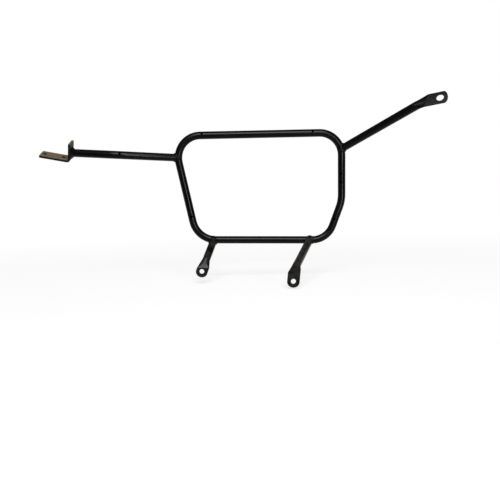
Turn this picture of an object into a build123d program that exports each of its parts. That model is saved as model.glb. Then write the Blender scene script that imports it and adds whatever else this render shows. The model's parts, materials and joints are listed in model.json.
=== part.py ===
from build123d import *
from math import cos, pi, radians, sin
import os

# Left-hand pannier frame of a motorbike, welded from bent steel tube.
# Millimetres. +X points forward, +Y outward from the motorbike, +Z up.
# The origin is the centre of the front eyelet's hole, in the middle of the flat's thickness.

# Tube stock
TUBE_OD = 18.0
TUBE_WALL = 1.5

# Weld beads: width on the hoop, width up the branch tube, rounding of the rim
WELD_ON_HOOP = 3.0
WELD_ON_BRANCH = 2.0
WELD_RIM_RADIUS = 2.0
BRACKET_WELD_LEG = 5.5
BRACKET_WELD_TOE = 0.3

# Hoop: corners of the centre line, measured from the top front corner
HOOP_TOP = 401.0
HOOP_FRONT_DROP = 255.5
HOOP_REAR_DROP = 248.5
KINK_DROP = 162.0
FRONT_TUCK = 35.0
REAR_TUCK = 50.0
CORNER_RADIUS = 53.0
FRONT_BOTTOM_RADIUS = 52.0
REAR_BOTTOM_RADIUS = 57.0
KINK_RADIUS = 90.0

# Holes drilled through the inner wall of the hoop and of the rear stay's bend, some turned up or back
HOOP_HOLE_D = 6.0
TOP_HOLE_SPACING = 262.0
RAISED_HOLE_TILT = 24.0
UPRIGHT_HOLE_DROP = 107.0
UPRIGHT_HOLE_SPACING = 18.0
UPRIGHT_HOLE_TURN = 18.0
KINK_HOLE_DROP = 204.0
REAR_HOLE_DROP = 192.0
BEND_HOLE_AHEAD = 3.5

# Where the eyelet stands, seen from the hoop's top front corner
EYELET_AHEAD = 170.0
EYELET_ABOVE = 47.0
EYELET_INWARD = 165.0

# Front stay and its pressed end
FRONT_STAY_DROP = 38.5
EYELET_HOLE_D = 14.5
EYELET_TAB_REACH = 30.0
EYELET_TURN = 27.0
EYELET_RISE = 6.5
EYELET_TILT = 22.0
EYELET_SKEW = -18.0
EYELET_TIP = 15.0
EYELET_STRAIGHT = 6.0

# Rear stay: bend and end, from the hoop's top rear corner
REAR_STAY_DROP = 51.0
REAR_BEND_BACK = 117.0
REAR_BEND_DROP = 45.5
REAR_END_BACK = 223.5
REAR_END_DROP = 38.5
REAR_STAY_INWARD = 52.0
REAR_BEND_RADIUS = 90.0

# Folded bracket on the rear stay
BRACKET_WIDTH = 30.0
BRACKET_THICKNESS = 5.0
BRACKET_FOLD_RADIUS = 3.0
BRACKET_CORNER_RADIUS = 2.0
BRACKET_EDGE_RADIUS = 0.6
TAB_HEIGHT = 44.0
TAB_RISE = 3.1
PLATE_LENGTH = 69.0
PLATE_HOLE_D = 8.0
PLATE_HOLE_SPACING = 42.0
PLATE_HOLE_MARGIN = 9.0
BRACKET_ROLL = 26.0
BRACKET_PITCH = 11.0
BRACKET_YAW = 5.5

# Legs under the hoop: foot on the bottom tube, then the hole in the pressed end
LEG_HOLE_D = 11.0
LEG_TIP = 14.0
LEG_STRAIGHT = 1.0
FRONT_LEG_SETBACK = 77.5
FRONT_LEG_BACK = 53.0
FRONT_LEG_DOWN = 75.5
FRONT_LEG_INWARD = 140.0
FRONT_LEG_TAB_REACH = 26.0
FRONT_LEG_TAB_ANGLE = 6.0
FRONT_LEG_SKEW = 17.0
REAR_LEG_AHEAD = 90.5
REAR_LEG_BACK = 26.0
REAR_LEG_DOWN = 67.5
REAR_LEG_INWARD = 60.0
REAR_LEG_TAB_REACH = 12.0
REAR_LEG_TAB_ANGLE = 21.0
REAR_LEG_SKEW = 17.0

# Pressed tube ends
PRESS_BACK = 20.0
PRESS_AHEAD = 3.0
PRESS_SPLIT = 20.0
SLIT_GAP = 0.3

# Worked out from the sizes above
TUBE_R = TUBE_OD / 2
BORE_R = TUBE_R - TUBE_WALL
FLAT_THICKNESS = 2 * TUBE_WALL
FLAT_WIDTH = pi * (TUBE_OD - TUBE_WALL) / 2 + TUBE_WALL
FRONT_TOP = Vector(-EYELET_AHEAD, EYELET_INWARD, -EYELET_ABOVE)
REAR_TOP = FRONT_TOP + Vector(-HOOP_TOP, 0, 0)
KINK = FRONT_TOP + Vector(0, 0, -KINK_DROP)
FRONT_BOTTOM = FRONT_TOP + Vector(-FRONT_TUCK, 0, -HOOP_FRONT_DROP)
REAR_BOTTOM = REAR_TOP + Vector(REAR_TUCK, 0, -HOOP_REAR_DROP)
INWARD = Vector(0, -1, 0)


def between(start, end, height):
    """Point of the line from start to end that lies at a height."""
    return start + (end - start) * ((height - start.Z) / (end.Z - start.Z))


def along(start, end, place):
    """Point of the line from start to end that lies at a place along X."""
    return start + (end - start) * ((place - start.X) / (end.X - start.X))


def rod(start, end, radius):
    """Round bar from one point to another."""
    line = end - start
    return extrude(Plane(start, z_dir=line) * Circle(radius), line.length)


def drill(centre, direction, diameter, depth):
    """Round bar for a hole, from the centre along the direction."""
    return rod(centre, centre + direction.normalized() * depth, diameter / 2)


def swept(path, radius):
    """Round bar along a path of straights and arcs."""
    return sweep(Plane(path @ 0, z_dir=path % 0) * Circle(radius), path)


def round_section(plane, radius):
    """Circle drawn as four arcs, so that each arc runs into one side of a pressed section."""
    split = radians(PRESS_SPLIT)
    x, y = radius * cos(split), radius * sin(split)
    arcs = [
        ThreePointArc((x, -y), (radius, 0), (x, y)),
        ThreePointArc((x, y), (0, radius), (-x, y)),
        ThreePointArc((-x, y), (-radius, 0), (-x, -y)),
        ThreePointArc((-x, -y), (0, -radius), (x, -y)),
    ]
    return plane * make_face(arcs)


def flat_section(plane, width, thickness):
    """Flat bar with rounded folds at both sides, as a tube has when it is pressed shut."""
    x, y = (width - thickness) / 2, thickness / 2
    sides = [
        ThreePointArc((x, -y), (x + y, 0), (x, y)),
        Line((x, y), (-x, y)),
        ThreePointArc((-x, y), (-x - y, 0), (-x, -y)),
        Line((-x, -y), (x, -y)),
    ]
    return plane * make_face(sides)


def pressed_tube(foot, hole, tab_direction, facing, tab_reach, skew, tip, straight, hole_d):
    """Tube from its foot to a pressed, rounded and drilled end, whose flat faces one way.

    The skew turns the fold where the flat starts. The flat's sides run straight a little past the hole.
    Returns the hollow tube, before its foot is shaped to the hoop, the same form unbored, and its axis.
    """
    bend = hole - tab_direction * tab_reach
    axis = (bend - foot).normalized()
    across = tab_direction.cross(facing)
    neck = bend - axis * PRESS_BACK
    flat_start = bend + tab_direction * PRESS_AHEAD
    neck_plane = Plane(neck, x_dir=across - axis * across.dot(axis), z_dir=axis)
    turn = Axis((0, 0, 0), facing)
    flat_plane = Plane(flat_start, x_dir=across.rotate(turn, skew), z_dir=tab_direction.rotate(turn, skew))
    fold_width = FLAT_WIDTH / cos(radians(skew))

    stem = rod(foot, neck, TUBE_R)
    fold = flat_section(flat_plane, fold_width, FLAT_THICKNESS)
    press = loft([round_section(neck_plane, TUBE_R), fold])
    tab = extrude(fold, tab_reach + FLAT_WIDTH, dir=tab_direction)
    tip_plane = Plane(hole + tab_direction * straight, x_dir=tab_direction, z_dir=facing)
    tip_sides = Rectangle(2 * (tab_reach + FLAT_WIDTH), FLAT_WIDTH, align=(Align.MAX, Align.CENTER))
    tip_outline = tip_plane * (tip_sides + Ellipse(tip - straight, FLAT_WIDTH / 2))
    tab = tab & extrude(tip_outline, FLAT_THICKNESS, both=True)
    outside = stem + press + tab
    outside -= drill(hole - facing * FLAT_THICKNESS, facing, hole_d, 2 * FLAT_THICKNESS)

    slit_width = fold_width - 2 * TUBE_WALL
    inside = rod(foot, neck, BORE_R)
    inside += loft([round_section(neck_plane, BORE_R), flat_section(flat_plane, slit_width, SLIT_GAP)])
    return outside - inside, outside, axis


def on_hoop(point):
    """Point of the hoop's centre line that lies nearest."""
    return hoop_path.closest_points(Vertex(point))[0]


def weld_bead(foot, axis, branch):
    """Bead round the foot of a branch tube, with a rounded rim, laid on the hoop's outside."""
    start = foot - axis * WELD_ON_HOOP
    sleeve = rod(start, foot + axis * (TUBE_OD + WELD_ON_HOOP), TUBE_R + WELD_ON_BRANCH)
    band = swept(hoop_path, TUBE_R + WELD_ON_HOOP) & sleeve
    rim = [edge for edge in band.edges() if edge.geom_type == GeomType.BSPLINE]
    return fillet(rim, WELD_RIM_RADIUS) - hoop_bar - branch


# Hoop
hoop_path = FilletPolyline(
    FRONT_BOTTOM,
    KINK,
    FRONT_TOP,
    REAR_TOP,
    REAR_BOTTOM,
    radius=[FRONT_BOTTOM_RADIUS, KINK_RADIUS, CORNER_RADIUS, CORNER_RADIUS, REAR_BOTTOM_RADIUS],
    close=True,
)
hoop_bar = swept(hoop_path, TUBE_R)
hoop = hoop_bar - swept(hoop_path, BORE_R)
top_middle = (FRONT_TOP + REAR_TOP) * 0.5
upright_middle = FRONT_TOP + Vector(0, 0, -UPRIGHT_HOLE_DROP)
raised_hole_direction = INWARD.rotate(Axis.X, -RAISED_HOLE_TILT)
for side in (1, -1):
    centre = top_middle + Vector(side * TOP_HOLE_SPACING / 2, 0, 0)
    hoop -= drill(centre, raised_hole_direction, HOOP_HOLE_D, TUBE_OD)
upright_hole_direction = INWARD.rotate(Axis.Z, -UPRIGHT_HOLE_TURN)
front_holes = [
    upright_middle + Vector(0, 0, UPRIGHT_HOLE_SPACING / 2),
    upright_middle - Vector(0, 0, UPRIGHT_HOLE_SPACING / 2),
    between(KINK, FRONT_BOTTOM, FRONT_TOP.Z - KINK_HOLE_DROP),
]
for centre in front_holes:
    hoop -= drill(centre, upright_hole_direction, HOOP_HOLE_D, TUBE_OD)
rear_hole = between(REAR_TOP, REAR_BOTTOM, REAR_TOP.Z - REAR_HOLE_DROP)
hoop -= drill(rear_hole, INWARD, HOOP_HOLE_D, TUBE_OD)

# Front stay
front_foot = on_hoop(FRONT_TOP + Vector(0, 0, -FRONT_STAY_DROP))
eyelet_direction = Vector(1, 0, 0).rotate(Axis.Y, -EYELET_RISE).rotate(Axis.Z, -EYELET_TURN)
eyelet_facing = INWARD.rotate(Axis.Z, -EYELET_TURN).rotate(Axis((0, 0, 0), eyelet_direction), -EYELET_TILT)
front_stay, front_stay_bar, front_axis = pressed_tube(
    front_foot,
    Vector(0, 0, 0),
    eyelet_direction,
    eyelet_facing,
    EYELET_TAB_REACH,
    EYELET_SKEW,
    EYELET_TIP,
    EYELET_STRAIGHT,
    EYELET_HOLE_D,
)
front_stay -= hoop_bar
front_stay_weld = weld_bead(front_foot, front_axis, front_stay_bar)

# Legs
legs = {}
for name, place, back, down, inward, reach, angle, skew in (
    ("front_leg", FRONT_TOP.X - FRONT_LEG_SETBACK, FRONT_LEG_BACK, FRONT_LEG_DOWN, FRONT_LEG_INWARD,
     FRONT_LEG_TAB_REACH, FRONT_LEG_TAB_ANGLE, FRONT_LEG_SKEW),
    ("rear_leg", REAR_TOP.X + REAR_LEG_AHEAD, REAR_LEG_BACK, REAR_LEG_DOWN, REAR_LEG_INWARD,
     REAR_LEG_TAB_REACH, REAR_LEG_TAB_ANGLE, REAR_LEG_SKEW),
):
    below = along(FRONT_BOTTOM, REAR_BOTTOM, place)
    foot = on_hoop(below)
    hole = below + Vector(-back, -inward, -down)
    direction = Vector(0, 0, -1).rotate(Axis.Y, angle)
    leg, leg_bar, leg_axis = pressed_tube(
        foot, hole, direction, INWARD, reach, skew, LEG_TIP, LEG_STRAIGHT, LEG_HOLE_D
    )
    legs[name] = leg - hoop_bar
    legs[name + "_weld"] = weld_bead(foot, leg_axis, leg_bar)

# Rear bracket: a strip folded into tab and plate, drilled, then turned to its place
rear_end = REAR_TOP + Vector(-REAR_END_BACK, -REAR_STAY_INWARD, -REAR_END_DROP)
bracket_turn = Rotation(0, 0, BRACKET_YAW) * Rotation(0, BRACKET_PITCH, 0) * Rotation(BRACKET_ROLL, 0, 0)
bracket_place = Location(rear_end) * bracket_turn
tab_top = TAB_HEIGHT / 2 + TAB_RISE
plate_height = tab_top - TAB_HEIGHT + BRACKET_THICKNESS / 2
strip_line = FilletPolyline(
    (-BRACKET_THICKNESS / 2, tab_top),
    (-BRACKET_THICKNESS / 2, plate_height),
    (-PLATE_LENGTH, plate_height),
    radius=BRACKET_FOLD_RADIUS + BRACKET_THICKNESS / 2,
)
strip = Plane.XZ * trace(strip_line, BRACKET_THICKNESS)
bracket = extrude(strip, BRACKET_WIDTH / 2, both=True)
tab_corners = bracket.edges().filter_by(Axis.X).group_by(Axis.Z)[-1]
plate_corners = bracket.edges().filter_by(Axis.Z).group_by(Axis.X)[0]
bracket = fillet(tab_corners + plate_corners, BRACKET_CORNER_RADIUS)
for step in (0, PLATE_HOLE_SPACING):
    centre = Vector(-PLATE_LENGTH + PLATE_HOLE_MARGIN + step, 0, plate_height - BRACKET_THICKNESS)
    bracket -= drill(centre, Vector(0, 0, 1), PLATE_HOLE_D, 2 * BRACKET_THICKNESS)
bracket = fillet(bracket.edges(), BRACKET_EDGE_RADIUS)
rear_bracket = bracket_place * bracket
beyond_tab = bracket_place * Box(
    TAB_HEIGHT, 2 * TAB_HEIGHT, 2 * TAB_HEIGHT, align=(Align.MAX, Align.CENTER, Align.CENTER)
)

# Rear stay, cut off flush with the bracket's tab
rear_foot = between(REAR_TOP, REAR_BOTTOM, REAR_TOP.Z - REAR_STAY_DROP)
rear_bend = REAR_TOP + Vector(-REAR_BEND_BACK, -REAR_STAY_INWARD, -REAR_BEND_DROP)
rear_axis = (rear_bend - rear_foot).normalized()
end_axis = (rear_end - rear_bend).normalized()
rear_path = FilletPolyline(rear_foot, rear_bend, rear_end + end_axis * TUBE_R, radius=REAR_BEND_RADIUS)
rear_stay_bar = swept(rear_path, TUBE_R)
rear_stay = rear_stay_bar - swept(rear_path, BORE_R) - hoop_bar - beyond_tab
bend_hole = rear_bend + Vector(BEND_HOLE_AHEAD, 0, 0)
rear_stay -= drill(bend_hole, raised_hole_direction, HOOP_HOLE_D, TUBE_OD)
rear_stay_weld = weld_bead(rear_foot, rear_axis, rear_stay_bar)
weld_slab = bracket_place * Box(
    BRACKET_WELD_LEG, 2 * TAB_HEIGHT, 2 * TAB_HEIGHT, align=(Align.MIN, Align.CENTER, Align.CENTER)
)
weld_sleeve = rod(rear_end - end_axis * TUBE_OD, rear_end + end_axis * TUBE_OD, TUBE_R + BRACKET_WELD_LEG)
weld_ring = weld_slab & weld_sleeve
weld_rim = weld_ring.edges().sort_by(Axis.X)[-1]
bracket_weld = chamfer(weld_rim, BRACKET_WELD_LEG - BRACKET_WELD_TOE) - rear_stay_bar

os.makedirs("parts", exist_ok=True)
pieces = {
    "hoop": hoop,
    "front_stay": front_stay,
    "front_stay_weld": front_stay_weld,
    **legs,
    "rear_stay": rear_stay,
    "rear_stay_weld": rear_stay_weld,
    "rear_bracket": rear_bracket,
    "bracket_weld": bracket_weld,
}
for name, piece in pieces.items():
    export_step(piece, f"parts/{name}.step")
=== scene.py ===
import json
from collections import namedtuple
from math import pi, radians

import bpy
from mathutils import Matrix, Vector


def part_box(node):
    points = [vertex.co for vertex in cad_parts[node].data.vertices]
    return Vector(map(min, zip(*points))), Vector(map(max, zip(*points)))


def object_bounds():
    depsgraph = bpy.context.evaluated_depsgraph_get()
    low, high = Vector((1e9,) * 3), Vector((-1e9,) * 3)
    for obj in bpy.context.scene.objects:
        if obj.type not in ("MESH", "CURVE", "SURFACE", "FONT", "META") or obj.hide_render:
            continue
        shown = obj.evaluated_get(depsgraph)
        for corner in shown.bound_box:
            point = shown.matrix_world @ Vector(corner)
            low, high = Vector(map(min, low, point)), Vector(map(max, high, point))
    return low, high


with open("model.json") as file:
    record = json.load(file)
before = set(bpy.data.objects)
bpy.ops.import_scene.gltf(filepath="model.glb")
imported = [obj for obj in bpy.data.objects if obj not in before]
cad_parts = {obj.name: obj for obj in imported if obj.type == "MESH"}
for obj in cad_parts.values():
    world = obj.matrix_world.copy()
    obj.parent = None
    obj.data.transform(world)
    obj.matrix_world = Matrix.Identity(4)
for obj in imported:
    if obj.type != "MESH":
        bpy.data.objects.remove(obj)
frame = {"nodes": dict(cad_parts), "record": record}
solid_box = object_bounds()
nodes = frame["nodes"]
mounts = {mount["name"]: mount for mount in frame["record"]["mounts"]}
bpy.ops.object.select_all(action="DESELECT")

# Paint, as linear colours
COAT_BLACK = (0.0010, 0.0010, 0.0011, 1.0)
COAT_CLOUD = (0.0026, 0.0024, 0.0023, 1.0)
LEG_CLOUD = (0.0170, 0.0160, 0.0150, 1.0)
BRACKET_BLACK = (0.0030, 0.0028, 0.0026, 1.0)
BRACKET_CLOUD = (0.0070, 0.0062, 0.0052, 1.0)
# Tan on faces that look up: a thin dusting on the tubes, and on the bracket a painted warm reflection of the
# light above
DUST_AND_SHEEN_TAN = (0.125, 0.092, 0.064, 1.0)
SEAM_BLACK = (0.0010, 0.0010, 0.0010, 1.0)

# Roughness of the paint from its smoothest to its roughest, strength of its reflections, and share of the tan
# on faces that look up, which is a thin dusting on the tubes and a painted warm reflection on the bracket
TUBE_ROUGHNESS = (0.20, 0.28)
TUBE_GLOSS = 0.12
TUBE_DUST = 0.03
BRACKET_ROUGHNESS = (0.50, 0.62)
BRACKET_GLOSS = 0.15
# The bracket's share is nearly full: its tan top faces are a painted warm reflection
BRACKET_PAINTED_SHEEN = 0.95
DUST_AND_SHEEN_ROUGHNESS = 0.8

# Sizes of the finish, in metres
CLOUD_SIZE = 0.045
LEG_CLOUD_SIZE = 0.014
PEEL_SIZE = 0.0016
PEEL_DEPTH = 0.00001
GRAIN_SIZE = 0.00035
DUST_AND_SHEEN_SPECK_SIZE = 0.006
WELD_DIAMETER = 0.021
RIPPLE_LENGTH = 0.0024
RIPPLE_DEPTH = 0.0003
RIPPLE_WANDER_SIZE = 0.004
SEAM_HALF_WIDTH = 0.00022
SEAM_DEPTH = 0.0003

# Noise values between which a cloud or a patch of the tan on upward faces fills in, and the least of that tan
# between the patches (a thin dusting, and on the bracket a painted warm reflection)
CLOUD_EDGES = (0.35, 0.68)
DUST_AND_SHEEN_EDGES = (0.35, 0.65)
DUST_AND_SHEEN_BETWEEN_PATCHES = 0.7
# Upward part of a face's normal between which the tan on upward faces starts and is full; on the bracket this
# tan is a painted reflection of the light above
DUST_AND_SHEEN_SLOPES = (0.55, 0.85)
# Height of the grain next to the orange peel
GRAIN_SHARE = 0.25
# How far a weld ripple strays and where its top is, in ripples, and the power that rounds its top
RIPPLE_WANDER = 0.9
RIPPLE_TOP = 0.5
RIPPLE_ROUNDING = 0.5
# Where the seam of a pressed end shows, in radii of its hole: in the hole, and from here to the tip
SEAM_IN_HOLE = 1.1
SEAM_TIP_START = 0.8

# Brightness of the studio, where 1 is white: the room in reflections, and the surround as light on the object
ROOM = 0.15
FILL = 0.08
WHITE = 1.0
# Directions in which reflections show the white backdrop: how far towards the back, and up to which height
BACKDROP_FROM = (0.45, 0.80)
BACKDROP_TOP = (0.36, 0.50)

# Floor, in metres: its glow to the camera grows with the distance from the lamps, and is full behind them
FLOOR_GREY = (0.22, 0.22, 0.22, 1.0)
FLOOR_SIZE = 30.0
FLOOR_GAP = 0.004
LAMPS_OVER = (-0.3, -0.9, 0.0)
GLOW_DISTANCE = (0.2, 2.6)
GLOW = (0.66, 0.98)
BEHIND_LAMPS = (-1.5, -0.8)
GLOW_BEHIND_LAMPS = (0.96, 0.0)
# Depths between which the glow starts to show in reflections
MIRRORED_GLOW_FROM = (-0.4, 0.3)

# Lamps: name, place, point it looks at, width and height in metres, power in watts
LAMPS = (
    ("key_softbox", (-0.35, -1.04, 0.83), (-0.35, 0.10, -0.10), 1.1, 0.75, 34.0),
    ("side_softbox", (0.42, -1.73, -0.05), (-0.39, 0.10, -0.10), 0.4, 0.75, 20.0),
)

# Camera: place in metres, turn in degrees, lens and sensor in millimetres
CAMERA_PLACE = (-0.3934, -1.046, -0.1781)
CAMERA_TURN = (83.158, 1.221, -0.147)
CAMERA_LENS = 36.0
CAMERA_SENSOR = 36.0

# Main nodes of a paint, for what is laid over it
Paint = namedtuple("Paint", ["material", "place", "colour", "bump", "shader"])


def add_node(tree, kind, place, inputs=None, **settings):
    """Node at a place in the editor. Each input is a plain value or the output of another node."""
    node = tree.nodes.new(kind)
    node.location = place
    for name, value in settings.items():
        setattr(node, name, value)
    for name, value in (inputs or {}).items():
        if isinstance(value, bpy.types.NodeSocket):
            tree.links.new(value, node.inputs[name])
        else:
            node.inputs[name].default_value = value
    return node


def calculate(tree, place, operation, *terms):
    """Result of one sum on plain numbers or outputs of other nodes."""
    node = add_node(tree, "ShaderNodeMath", place, dict(enumerate(terms)), operation=operation)
    return node.outputs["Value"]


def ramp(tree, place, value, between, results, smooth=False):
    """Value that goes from one result to the other while the given value goes between its two limits."""
    inputs = {"Value": value, "From Min": between[0], "From Max": between[1]}
    inputs.update({"To Min": results[0], "To Max": results[1]})
    kind = "SMOOTHSTEP" if smooth else "LINEAR"
    node = add_node(tree, "ShaderNodeMapRange", place, inputs, interpolation_type=kind)
    return node.outputs["Result"]


def new_group(name, values, results):
    """Empty node group that takes a vector and named values, and its two end nodes."""
    group = bpy.data.node_groups.new(name, "ShaderNodeTree")
    group.interface.new_socket("Vector", in_out="INPUT", socket_type="NodeSocketVector")
    for value in values:
        group.interface.new_socket(value, in_out="INPUT", socket_type="NodeSocketFloat")
    for result in results:
        group.interface.new_socket(result, in_out="OUTPUT", socket_type="NodeSocketFloat")
    start = add_node(group, "NodeGroupInput", (-900, 0))
    end = add_node(group, "NodeGroupOutput", (700, 0))
    return group, start, end


def powder_coat_group():
    """Slow clouds in the paint, orange peel and fine grain on it."""
    group, start, end = new_group(
        "Powder Coat",
        ["Cloud Scale", "Smoothest", "Roughest"],
        ["Cloud", "Roughness", "Height"],
    )
    vector = start.outputs["Vector"]
    cloud_noise = {"Vector": vector, "Scale": start.outputs["Cloud Scale"], "Detail": 5.0, "Roughness": 0.6}
    cloud = add_node(group, "ShaderNodeTexNoise", (-600, 300), cloud_noise)
    peel_noise = {"Vector": vector, "Scale": 1 / PEEL_SIZE, "Detail": 1.0}
    peel = add_node(group, "ShaderNodeTexNoise", (-600, 0), peel_noise)
    grain_noise = {"Vector": vector, "Scale": 1 / GRAIN_SIZE, "Detail": 2.0}
    grain = add_node(group, "ShaderNodeTexNoise", (-600, -300), grain_noise)
    patches = ramp(group, (-300, 300), cloud.outputs["Fac"], CLOUD_EDGES, (0.0, 1.0))
    roughness = ramp(
        group, (0, 100), patches, (0.0, 1.0), (start.outputs["Smoothest"], start.outputs["Roughest"])
    )
    height = calculate(
        group, (-300, -200), "MULTIPLY_ADD", grain.outputs["Fac"], GRAIN_SHARE, peel.outputs["Fac"]
    )
    group.links.new(patches, end.inputs["Cloud"])
    group.links.new(roughness, end.inputs["Roughness"])
    group.links.new(height, end.inputs["Height"])
    return group


def dust_and_sheen_group():
    """Mask of the tan on faces that look up, broken into specks. A small amount gives a thin dusting; a large
    one, on the bracket, gives a painted warm reflection of the light above.
    """
    group, start, end = new_group("Dust And Painted Sheen", ["Amount"], ["Mask"])
    speck_noise = {"Vector": start.outputs["Vector"], "Scale": 1 / DUST_AND_SHEEN_SPECK_SIZE}
    speck_noise.update({"Detail": 8.0, "Roughness": 0.7})
    speck = add_node(group, "ShaderNodeTexNoise", (-600, 200), speck_noise)
    patches = ramp(group, (-300, 200), speck.outputs["Fac"], DUST_AND_SHEEN_EDGES, (DUST_AND_SHEEN_BETWEEN_PATCHES, 1.0))
    surface = add_node(group, "ShaderNodeNewGeometry", (-600, -200))
    split = add_node(group, "ShaderNodeSeparateXYZ", (-400, -200), {"Vector": surface.outputs["Normal"]})
    upward = ramp(group, (-200, -200), split.outputs["Z"], DUST_AND_SHEEN_SLOPES, (0.0, 1.0))
    dust_and_sheen_cover = calculate(group, (100, 0), "MULTIPLY", patches, upward)
    mask = calculate(group, (350, 0), "MULTIPLY", dust_and_sheen_cover, start.outputs["Amount"])
    group.links.new(mask, end.inputs["Mask"])
    return group


def weld_ripple_group():
    """Ripples of a weld bead, one after the other round the Z axis of the incoming vector."""
    group, start, end = new_group("Weld Ripples", ["Ripples"], ["Height"])
    vector = start.outputs["Vector"]
    wander_noise = {"Vector": vector, "Scale": 1 / RIPPLE_WANDER_SIZE, "Detail": 2.0}
    wander = add_node(group, "ShaderNodeTexNoise", (-700, -250), wander_noise)
    split = add_node(group, "ShaderNodeSeparateXYZ", (-700, 100), {"Vector": vector})
    turn = calculate(group, (-500, 100), "ARCTAN2", split.outputs["Y"], split.outputs["X"])
    share = calculate(group, (-300, 100), "DIVIDE", turn, 2 * pi)
    count = calculate(group, (-100, 100), "MULTIPLY", share, start.outputs["Ripples"])
    shaken = calculate(group, (50, -50), "MULTIPLY_ADD", wander.outputs["Fac"], RIPPLE_WANDER, count)
    wave = calculate(group, (200, 100), "PINGPONG", shaken, RIPPLE_TOP)
    crown = calculate(group, (350, 100), "POWER", wave, RIPPLE_ROUNDING)
    group.links.new(crown, end.inputs["Height"])
    return group


def pressed_seam_group():
    """Line where a pressed tube's two walls meet, on the cut tip and in the hole.

    The incoming vector's Z is the hole's axis, and its X points to the tip.
    """
    group, start, end = new_group("Pressed Seam", ["Hole Radius", "Tip Start"], ["Mask"])
    vector = start.outputs["Vector"]
    split = add_node(group, "ShaderNodeSeparateXYZ", (-700, 0), {"Vector": vector})
    height = calculate(group, (-500, -200), "ABSOLUTE", split.outputs["Z"])
    line = ramp(group, (-250, -200), height, (0.0, SEAM_HALF_WIDTH), (1.0, 0.0), smooth=True)
    flat = add_node(
        group, "ShaderNodeVectorMath", (-500, 250), {0: vector, 1: (1.0, 1.0, 0.0)}, operation="MULTIPLY"
    )
    radius = add_node(
        group, "ShaderNodeVectorMath", (-300, 250), {0: flat.outputs["Vector"]}, operation="LENGTH"
    )
    bore = calculate(group, (-100, 250), "LESS_THAN", radius.outputs["Value"], start.outputs["Hole Radius"])
    tip = calculate(group, (-300, 50), "GREATER_THAN", split.outputs["X"], start.outputs["Tip Start"])
    either = calculate(group, (150, 150), "MAXIMUM", bore, tip)
    mask = calculate(group, (400, 0), "MULTIPLY", line, either)
    group.links.new(mask, end.inputs["Mask"])
    return group


POWDER_COAT = powder_coat_group()
DUST_AND_SHEEN_GROUP = dust_and_sheen_group()
WELD_RIPPLES = weld_ripple_group()
PRESSED_SEAM = pressed_seam_group()


def new_material(name):
    """Material with an empty node tree."""
    material = bpy.data.materials.new(name)
    material.use_nodes = True
    material.node_tree.nodes.clear()
    return material


def mix(tree, place, data_type, factor, first, second):
    """Colour or value between two others."""
    inputs = {"Factor": factor, "A": first, "B": second}
    return add_node(tree, "ShaderNodeMix", place, inputs, data_type=data_type).outputs["Result"]


def paint_material(name, dark, light, roughness, gloss, dust_and_sheen_share, cloud_size=CLOUD_SIZE):
    """Powder coated steel: cloudy colour, orange peel, and a tan on faces that look up, which is a thin
    dusting on the tubes and a painted warm reflection on the bracket.
    """
    material = new_material(name)
    tree = material.node_tree
    place = add_node(tree, "ShaderNodeTexCoord", (-1200, 0)).outputs["Object"]
    coat_values = {"Vector": place, "Cloud Scale": 1 / cloud_size}
    coat_values.update({"Smoothest": roughness[0], "Roughest": roughness[1]})
    coat = add_node(tree, "ShaderNodeGroup", (-900, 100), coat_values, node_tree=POWDER_COAT)
    # Tan on faces that look up: a thin dusting on the tubes, a painted warm reflection of the light above on
    # the bracket
    dust_and_sheen_values = {"Vector": place, "Amount": dust_and_sheen_share}
    dust_and_sheen_node = add_node(tree, "ShaderNodeGroup", (-900, -200), dust_and_sheen_values, node_tree=DUST_AND_SHEEN_GROUP)
    mask = dust_and_sheen_node.outputs["Mask"]
    cloudy = mix(tree, (-600, 250), "RGBA", coat.outputs["Cloud"], dark, light)
    dust_and_sheen_colour = mix(tree, (-350, 200), "RGBA", mask, cloudy, DUST_AND_SHEEN_TAN)
    dull = mix(tree, (-350, -50), "FLOAT", mask, coat.outputs["Roughness"], DUST_AND_SHEEN_ROUGHNESS)
    relief = {"Strength": 1.0, "Distance": PEEL_DEPTH, "Height": coat.outputs["Height"]}
    bump = add_node(tree, "ShaderNodeBump", (-350, -300), relief)
    finish = {"Base Color": dust_and_sheen_colour, "Roughness": dull, "Specular IOR Level": gloss}
    finish["Normal"] = bump.outputs["Normal"]
    shader = add_node(tree, "ShaderNodeBsdfPrincipled", (0, 0), finish)
    add_node(tree, "ShaderNodeOutputMaterial", (300, 0), {"Surface": shader.outputs["BSDF"]})
    return Paint(material, place, dust_and_sheen_colour, bump, shader)


def tube_coat(name, cloud=COAT_CLOUD, cloud_size=CLOUD_SIZE):
    """Satin black powder coat of the tubes, with clouds of a paler colour."""
    return paint_material(name, COAT_BLACK, cloud, TUBE_ROUGHNESS, TUBE_GLOSS, TUBE_DUST, cloud_size)


def centre_pattern(coat, centre, turn):
    """Object coordinates of a paint, moved to a centre and turned."""
    inputs = {"Vector": coat.place, "Location": centre, "Rotation": turn}
    tree = coat.material.node_tree
    mapping = add_node(tree, "ShaderNodeMapping", (-1000, -500), inputs, vector_type="TEXTURE")
    return mapping.outputs["Vector"]


def lay_relief(coat, height, depth, invert=False):
    """Relief under the orange peel of a paint."""
    inputs = {"Strength": 1.0, "Distance": depth, "Height": height}
    tree = coat.material.node_tree
    relief = add_node(tree, "ShaderNodeBump", (-550, -450), inputs, invert=invert)
    tree.links.new(relief.outputs["Normal"], coat.bump.inputs["Normal"])


def weld_material(name, centre, axis):
    """The tubes' paint over the ripples of one bead, which runs round an axis through its centre."""
    coat = tube_coat(name)
    tree = coat.material.node_tree
    vector = centre_pattern(coat, centre, axis.to_track_quat("Z", "X").to_euler())
    values = {"Vector": vector, "Ripples": round(pi * WELD_DIAMETER / RIPPLE_LENGTH)}
    ripples = add_node(tree, "ShaderNodeGroup", (-750, -500), values, node_tree=WELD_RIPPLES)
    lay_relief(coat, ripples.outputs["Height"], RIPPLE_DEPTH)
    return coat.material


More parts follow.
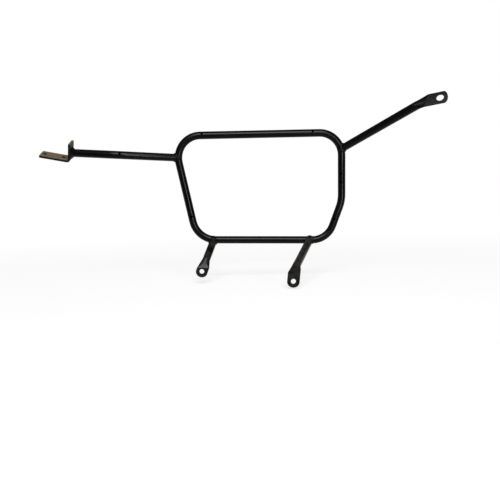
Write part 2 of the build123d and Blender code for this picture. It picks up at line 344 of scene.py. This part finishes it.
def pressed_end_material(name, mount, inner, cloud, cloud_size):
    """The tubes' paint, with the seam of the pressed end round a hole. Inner is a point up the tube."""
    coat = tube_coat(name, cloud, cloud_size)
    tree = coat.material.node_tree
    hole = Vector(mount["pos_m"])
    axis = Vector(mount["axis"]).normalized()
    hole_radius = mount["dims"]["r_mm"] / 1000
    across = axis.cross((hole - inner).normalized()).normalized()
    along = across.cross(axis)
    vector = centre_pattern(coat, hole, Matrix((along, across, axis)).transposed().to_euler())
    values = {"Vector": vector, "Hole Radius": hole_radius * SEAM_IN_HOLE}
    values["Tip Start"] = hole_radius * SEAM_TIP_START
    seam = add_node(tree, "ShaderNodeGroup", (-750, -500), values, node_tree=PRESSED_SEAM).outputs["Mask"]
    lay_relief(coat, seam, SEAM_DEPTH, invert=True)
    darker = mix(tree, (-150, 250), "RGBA", seam, coat.colour, SEAM_BLACK)
    tree.links.new(darker, coat.shader.inputs["Base Color"])
    return coat.material


def paint(name, material):
    """One material on the whole of a solid."""
    mesh = nodes[name].data
    mesh.materials.clear()
    mesh.materials.append(material)


def middle(name):
    """Middle of a solid's box."""
    low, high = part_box(name)
    return (low + high) / 2


# Finish of each piece
tube_paint = tube_coat("tube_paint").material
for tube in ("hoop", "rear_stay"):
    paint(tube, tube_paint)
for tube, mount, cloud, cloud_size in (
    ("front_stay", "front_eyelet", COAT_CLOUD, CLOUD_SIZE),
    ("front_leg", "front_leg_hole", LEG_CLOUD, LEG_CLOUD_SIZE),
    ("rear_leg", "rear_leg_hole", LEG_CLOUD, LEG_CLOUD_SIZE),
):
    paint(tube, pressed_end_material(tube + "_paint", mounts[mount], middle(tube), cloud, cloud_size))
# Black paint of the bracket, with a painted warm reflection in tan on its upward faces
bracket_paint = paint_material(
    "bracket_paint", BRACKET_BLACK, BRACKET_CLOUD, BRACKET_ROUGHNESS, BRACKET_GLOSS, BRACKET_PAINTED_SHEEN
)
paint("rear_bracket", bracket_paint.material)
for weld, branch in (
    ("front_stay_weld", "front_stay"),
    ("front_leg_weld", "front_leg"),
    ("rear_leg_weld", "rear_leg"),
    ("rear_stay_weld", "rear_stay"),
    ("bracket_weld", "rear_stay"),
):
    centre = middle(weld)
    paint(weld, weld_material(weld + "_paint", centre, middle(branch) - centre))


def seen_rays(tree):
    """Two masks of rays: those from the camera, and these together with mirrored and transmitted ones."""
    path = add_node(tree, "ShaderNodeLightPath", (-900, 400)).outputs
    passed_on = calculate(tree, (-650, 300), "MAXIMUM", path["Is Glossy Ray"], path["Is Transmission Ray"])
    shown = calculate(tree, (-450, 400), "MAXIMUM", path["Is Camera Ray"], passed_on)
    return path["Is Camera Ray"], shown


def floor_material():
    """Grey studio floor that takes the object's shadow, and glows so that the camera sees it white."""
    material = new_material("studio_floor")
    tree = material.node_tree
    camera_ray, shown = seen_rays(tree)
    place = add_node(tree, "ShaderNodeTexCoord", (-900, -200)).outputs["Object"]
    from_lamps = add_node(
        tree, "ShaderNodeVectorMath", (-650, -200), {0: place, 1: LAMPS_OVER}, operation="DISTANCE"
    )
    depth = add_node(tree, "ShaderNodeSeparateXYZ", (-650, -450), {"Vector": place}).outputs["Y"]
    glow = ramp(tree, (-400, -200), from_lamps.outputs["Value"], GLOW_DISTANCE, GLOW)
    unlit = ramp(tree, (-400, -700), depth, BEHIND_LAMPS, GLOW_BEHIND_LAMPS, smooth=True)
    mirrored = ramp(tree, (-400, -450), depth, MIRRORED_GLOW_FROM, (0.0, 1.0), smooth=True)
    brightness = calculate(tree, (-200, -600), "MAXIMUM", glow, unlit)
    where = calculate(tree, (-200, -400), "MAXIMUM", mirrored, camera_ray)
    strength = calculate(tree, (-200, -200), "MULTIPLY", brightness, where)
    matt = add_node(tree, "ShaderNodeBsdfDiffuse", (0, 100), {"Color": FLOOR_GREY}).outputs["BSDF"]
    lit = add_node(tree, "ShaderNodeEmission", (0, -100), {"Strength": strength}).outputs["Emission"]
    both = add_node(tree, "ShaderNodeAddShader", (250, 0), {0: matt, 1: lit}).outputs["Shader"]
    choose = add_node(tree, "ShaderNodeMixShader", (450, 100), {"Fac": shown, 1: matt, 2: both})
    add_node(tree, "ShaderNodeOutputMaterial", (650, 100), {"Surface": choose.outputs["Shader"]})
    return material


def studio_world():
    """White surround. Reflections show it behind the object, and a dim room on the side of the lamps."""
    world = bpy.data.worlds.new("studio")
    bpy.context.scene.world = world
    world.use_nodes = True
    tree = world.node_tree
    tree.nodes.clear()
    camera_ray, shown = seen_rays(tree)
    direction = add_node(tree, "ShaderNodeTexCoord", (-900, -100)).outputs["Generated"]
    split = add_node(tree, "ShaderNodeSeparateXYZ", (-700, -100), {"Vector": direction})
    backdrop = ramp(tree, (-450, -100), split.outputs["Y"], BACKDROP_FROM, (ROOM, WHITE), smooth=True)
    below_top = ramp(tree, (-450, -400), split.outputs["Z"], BACKDROP_TOP, (WHITE, ROOM), smooth=True)
    mirrored = calculate(tree, (-250, -200), "MINIMUM", backdrop, below_top)
    indirect = mix(tree, (-50, 0), "FLOAT", shown, FILL, mirrored)
    strength = mix(tree, (150, 100), "FLOAT", camera_ray, indirect, WHITE)
    light = {"Color": (1.0, 1.0, 1.0, 1.0), "Strength": strength}
    background = add_node(tree, "ShaderNodeBackground", (350, 100), light)
    add_node(tree, "ShaderNodeOutputWorld", (550, 100), {"Surface": background.outputs["Background"]})


def softbox(name, place, target, width, height, power):
    """Large soft lamp that points at the target and is itself out of the picture."""
    data = bpy.data.lights.new(name, "AREA")
    data.shape = "RECTANGLE"
    data.size = width
    data.size_y = height
    data.energy = power
    lamp = bpy.data.objects.new(name, data)
    bpy.context.scene.collection.objects.link(lamp)
    lamp.visible_camera = False
    lamp.location = place
    lamp.rotation_euler = (Vector(target) - Vector(place)).to_track_quat("-Z", "Y").to_euler()


# Studio
studio_world()
lowest = solid_box[0][2]
bpy.ops.mesh.primitive_plane_add(size=FLOOR_SIZE, location=(0.0, 0.0, lowest - FLOOR_GAP))
floor = bpy.context.object
floor.name = "floor"
floor.data.materials.append(floor_material())
for lamp in LAMPS:
    softbox(*lamp)

camera_data = bpy.data.cameras.new("camera")
camera_data.lens = CAMERA_LENS
camera_data.sensor_width = CAMERA_SENSOR
camera = bpy.data.objects.new("camera", camera_data)
bpy.context.scene.collection.objects.link(camera)
camera.location = CAMERA_PLACE
camera.rotation_euler = [radians(angle) for angle in CAMERA_TURN]
bpy.context.scene.camera = camera

bpy.context.scene.view_settings.view_transform = "Standard"
